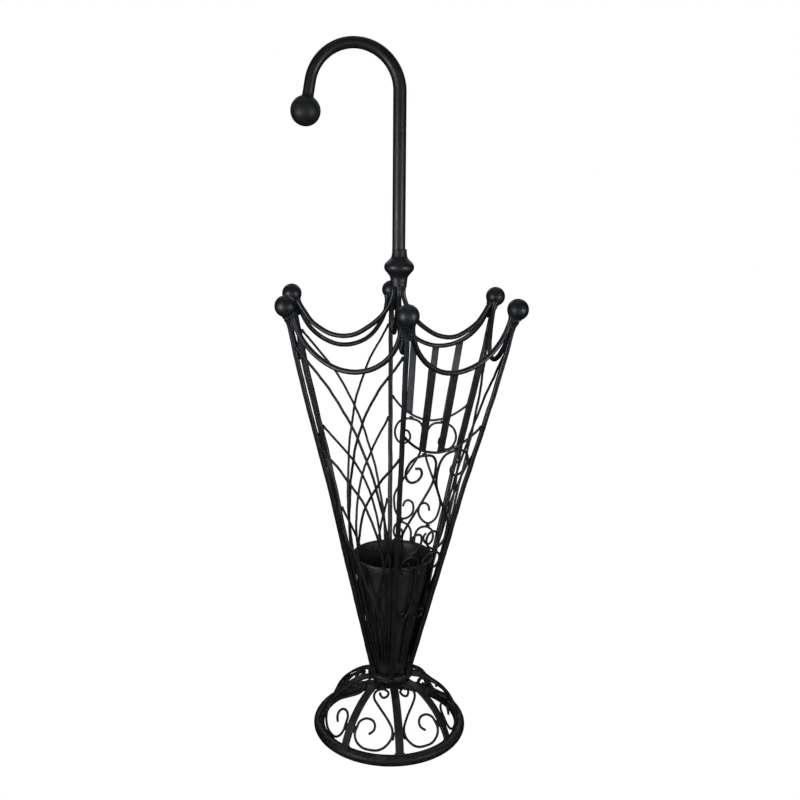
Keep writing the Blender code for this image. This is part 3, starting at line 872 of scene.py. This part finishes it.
def build_handle():
    """The pole bent to a crook, and the ball on its end."""
    base = RIM_HEIGHT
    path = [np.array([0, 0, base + h]) for h in np.linspace(COLLAR_TOP - 2.0, CROOK_HEIGHT, 90)[:-1]]
    radii = [POLE_RADIUS] * len(path)
    for angle in np.linspace(0, CROOK_TURN, 92):
        path.append(np.array([CROOK_RADIUS * (math.cos(angle) - 1), 0,
                              base + CROOK_HEIGHT + CROOK_RADIUS * math.sin(angle)]))
        radii.append(POLE_RADIUS + (CROOK_END_RADIUS - POLE_RADIUS) * min(1.0, 2 * angle / CROOK_TURN))
    leg = np.array([-math.sin(CROOK_TURN), 0, math.cos(CROOK_TURN)])
    leg_length = (path[-1][2] - base - HANDLE_BALL_HEIGHT) / -leg[2]
    ball_centre = path[-1] + leg * leg_length
    bend_end = path[-1]
    for reach in np.linspace(0, leg_length - HANDLE_BALL_RADIUS + 2.5, 12)[1:]:
        path.append(bend_end + leg * reach)
        radii.append(CROOK_END_RADIUS)
    for point in path + [ball_centre]:
        point[0] -= HANDLE_SHIFT + max(0.0, point[2] - base - COLLAR_TOP) * HANDLE_LEAN
    piece = Piece("handle", "pole")
    rod(piece, path, (0, 1, 0), np.array(radii) - 0.02, 40, start=0.25, end=1.0, seed=500, weld=1.6)
    piece.finish_piece()

    piece = Piece("handle_ball", "knob")
    ball(piece, HANDLE_BALL_RADIUS, ball_centre, 72, 44)
    piece.finish_piece()


build_foot_ring()
build_foot_bars()
build_foot_scrolls()
build_hub()
build_cup()
build_ribs()
build_swags()
build_hangers()
for panel_number, panel_bay in enumerate((0, 2, 4)):
    build_bar_panel(panel_number + 1, panel_bay)
for panel_number, panel_bay in enumerate((1, 3, 5)):
    build_reed_panel(panel_number + 1, panel_bay)
build_collar()
build_handle()


# ---------------------------------------------------------------- the studio

FLOOR_HALF_SIZE = 9.0
FLOOR_GLOW = 0.985
COOL, WHITE = (0.88, 0.93, 1.0), (1.0, 1.0, 1.0)
STAND_MIDDLE = (0, 0, 0.5)
# Each soft box: name, place, aim, width, height, power, colour and spread in degrees
SOFT_BOXES = (
    ("box_left", (-0.95, -0.80, 0.44), STAND_MIDDLE, 0.40, 0.34, 1.40, COOL, 64),
    ("box_right", (0.95, -0.85, 0.44), STAND_MIDDLE, 0.40, 0.34, 1.05, COOL, 64),
    ("box_front", (0.0, -1.5, 0.40), STAND_MIDDLE, 1.1, 0.3, 1.5, COOL, 180),
    ("box_back_left", (-0.8, 1.6, 1.7), STAND_MIDDLE, 0.9, 0.9, 3.5, COOL, 180),
    ("box_back_right", (0.8, 1.6, 1.7), STAND_MIDDLE, 0.9, 0.9, 3.5, COOL, 180),
    ("box_top", (0.0, 0.2, 2.4), (0, 0, 0), 1.6, 1.6, 2.5, WHITE, 180))
CAMERA_PLACE = (-0.07246, -1.05747, 0.6489)
CAMERA_YAW, CAMERA_PITCH, CAMERA_ROLL = math.radians(4.16), math.radians(-12.02), math.radians(1.30)
CAMERA_LENS, CAMERA_SENSOR = 41.31, 36.0


def floor_paint():
    """White that glows evenly, so that the floor has no horizon or shadow."""
    material = bpy.data.materials.new("pale_floor")
    material.use_nodes = True
    shader = material.node_tree.nodes["Principled BSDF"]
    shader.inputs["Base Color"].default_value = (0.02, 0.02, 0.02, 1)
    shader.inputs["Roughness"].default_value = 1.0
    shader.inputs["Specular IOR Level"].default_value = 0.0
    shader.inputs["Emission Color"].default_value = (*WHITE, 1)
    shader.inputs["Emission Strength"].default_value = FLOOR_GLOW
    return material


def build_floor():
    size = FLOOR_HALF_SIZE
    mesh = bpy.data.meshes.new("studio_floor")
    corners = [(-size, -size, 0), (size, -size, 0), (size, size, 0), (-size, size, 0)]
    mesh.from_pydata(corners, [], [(0, 1, 2, 3)])
    mesh.materials.append(floor_paint())
    floor = bpy.data.objects.new("studio_floor", mesh)
    bpy.context.scene.collection.objects.link(floor)
    floor.visible_glossy = False
    floor.visible_diffuse = False


def build_lights():
    world = bpy.data.worlds.new("studio_air")
    bpy.context.scene.world = world
    world.use_nodes = True
    background = world.node_tree.nodes["Background"]
    background.inputs["Color"].default_value = (*WHITE, 1)
    background.inputs["Strength"].default_value = 1.0
    world.cycles_visibility.glossy = False
    for name, place, aim, width, height, power, colour, spread in SOFT_BOXES:
        light = bpy.data.lights.new(name, "AREA")
        light.shape = "RECTANGLE"
        light.size, light.size_y = width, height
        light.energy = power
        light.spread = math.radians(spread)
        light.color = colour
        obj = bpy.data.objects.new(name, light)
        obj.location = place
        obj.rotation_euler = (Vector(aim) - Vector(place)).to_track_quat("-Z", "Y").to_euler()
        bpy.context.scene.collection.objects.link(obj)


def build_camera():
    yaw, pitch, roll = CAMERA_YAW, CAMERA_PITCH, CAMERA_ROLL
    forward = Vector((math.sin(yaw) * math.cos(pitch), math.cos(yaw) * math.cos(pitch), math.sin(pitch)))
    right = Vector((math.cos(yaw), -math.sin(yaw), 0))
    up = right.cross(forward)
    x_axis = right * math.cos(roll) + up * math.sin(roll)
    y_axis = up * math.cos(roll) - right * math.sin(roll)
    camera = bpy.data.cameras.new("camera")
    camera.sensor_width = CAMERA_SENSOR
    camera.lens = CAMERA_LENS
    camera.clip_start, camera.clip_end = 0.05, 50.0
    obj = bpy.data.objects.new("camera", camera)
    bpy.context.scene.collection.objects.link(obj)
    turn = Matrix((x_axis, y_axis, -forward)).transposed()
    obj.matrix_world = Matrix.Translation(CAMERA_PLACE) @ turn.to_4x4()
    bpy.context.scene.camera = obj


build_floor()
build_lights()
build_camera()
bpy.context.scene.view_settings.view_transform = "Standard"
